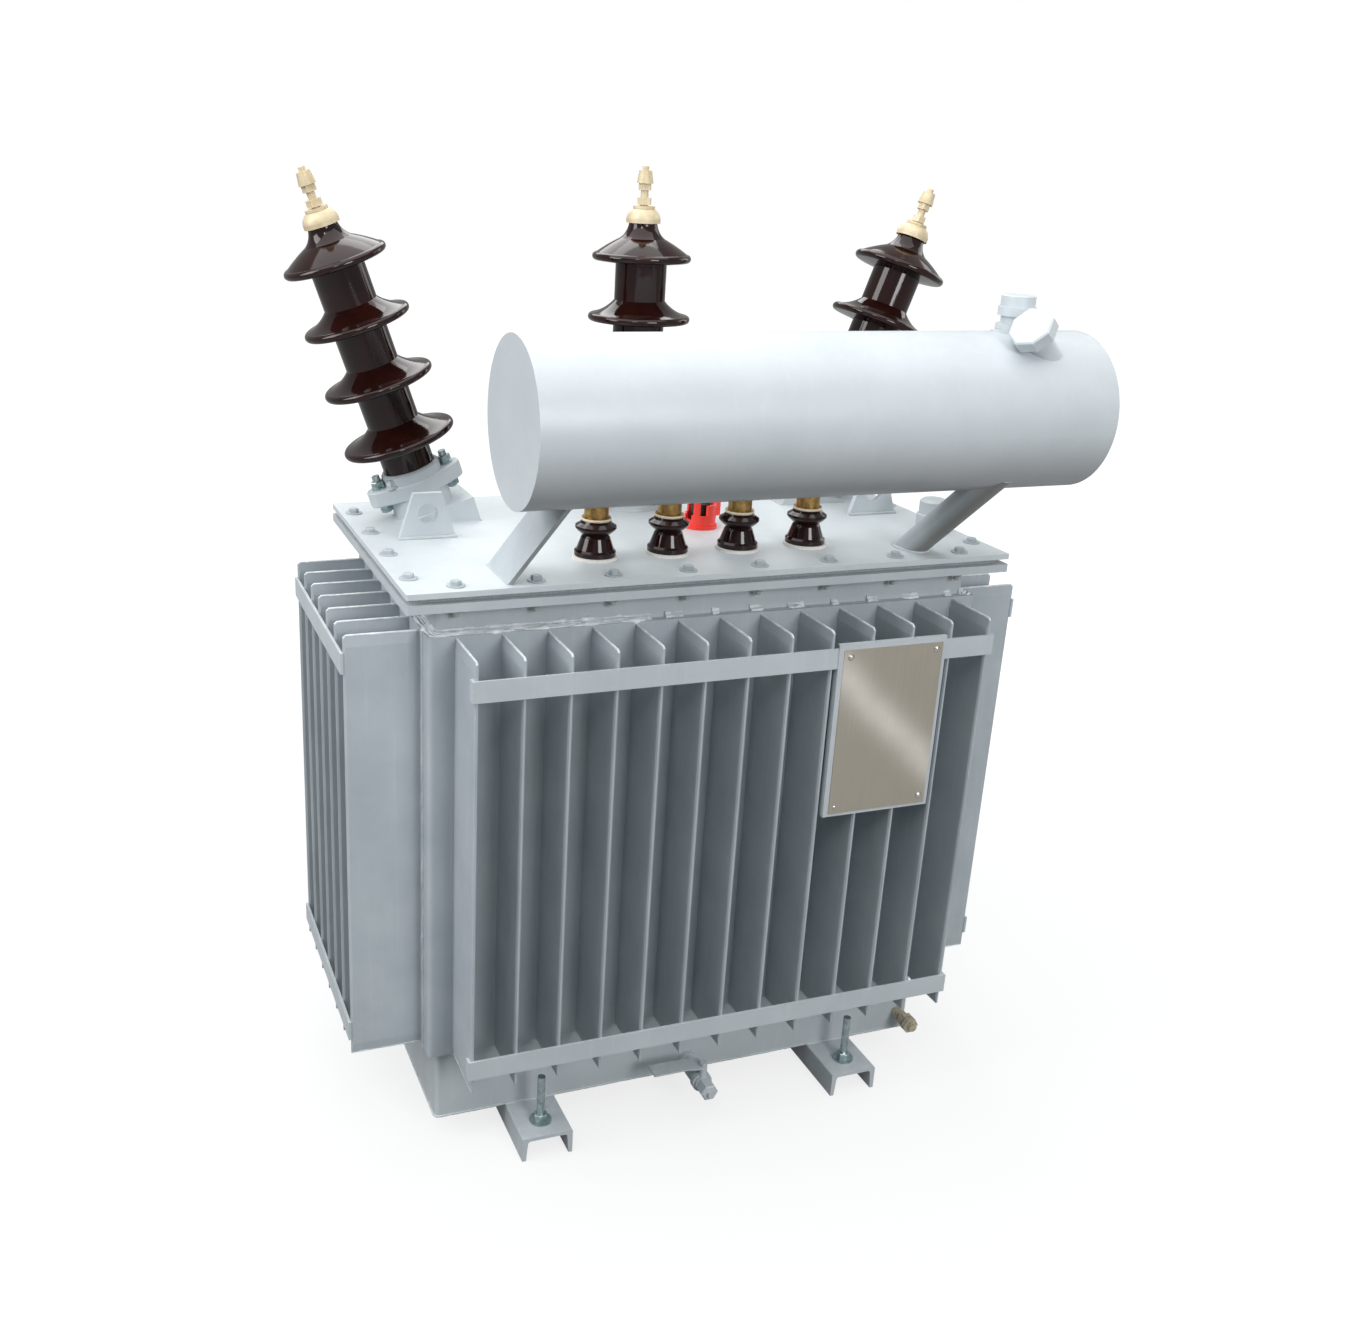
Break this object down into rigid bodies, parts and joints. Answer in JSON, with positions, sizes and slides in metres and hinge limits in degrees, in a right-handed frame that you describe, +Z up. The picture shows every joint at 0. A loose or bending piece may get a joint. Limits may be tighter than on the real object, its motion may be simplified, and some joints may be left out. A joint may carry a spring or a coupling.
{
  "type": "oil-filled power transformer",
  "caption": "Oil-filled distribution transformer: corrugated tank on channel feet, bolted cover with leaning high-voltage bushings, low-voltage bushings and a drum conservator.",
  "frame": {"origin": "on the floor, under the middle of the whole outline; the foot bolts' middle lies 37.25 mm behind it, because the drum stands out in front", "axes": "+X along the tank, +Y from the conservator side to the high-voltage side, +Z up"},
  "size_m": [1.0904, 0.7404, 1.4186],
  "materials": {
    "grey_paint": "light grey enamel",
    "dark_rubber": "cork rubber sheet",
    "white_seal": "pale seal ring",
    "brown_porcelain": "dark brown glaze",
    "brass": "turned brass",
    "red_plastic": "moulded red",
    "black_plastic": "moulded black",
    "stainless_plate": "brushed plate"
  },
  "bodies": {
    "root": {"base_channel_left": "grey_paint", "base_channel_right": "grey_paint", "tank_shell": "grey_paint", "tank_floor": "grey_paint", "rim_flange": "grey_paint", "cover_plate": "grey_paint", "fin_wall_front": "grey_paint", "fin_wall_back": "grey_paint", "fin_wall_left": "grey_paint", "fin_wall_right": "grey_paint", "upper_stiffener_bars": "grey_paint", "lower_stiffener_bars": "grey_paint", "conservator_shell": "grey_paint", "conservator_end_left": "grey_paint", "conservator_end_right": "grey_paint", "conservator_leg": "grey_paint", "conservator_pipe": "grey_paint", "filler_neck": "grey_paint", "filler_cap": "grey_paint", "vent_plug": "grey_paint", "lifting_lug_left": "grey_paint", "lifting_lug_right": "grey_paint", "thermometer_pocket": "grey_paint", "nameplate_bracket": "grey_paint", "drain_valve": "grey_paint", "hv_turret_left": "grey_paint", "hv_turret_middle": "grey_paint", "hv_turret_right": "grey_paint", "hv_clamp_left": "grey_paint", "hv_clamp_middle": "grey_paint", "hv_clamp_right": "grey_paint", "cover_gasket": "dark_rubber", "lv_seals": "white_seal", "lv_porcelains": "brown_porcelain", "hv_porcelain_left": "brown_porcelain", "hv_porcelain_middle": "brown_porcelain", "hv_porcelain_right": "brown_porcelain", "lv_terminals": "brass", "hv_terminal_left": "brass", "hv_terminal_middle": "brass", "hv_terminal_right": "brass", "earth_stud": "brass", "tap_changer_cup": "red_plastic", "tap_changer_knob": "black_plastic", "nameplate": "stainless_plate"}
  },
  "joints": []
}
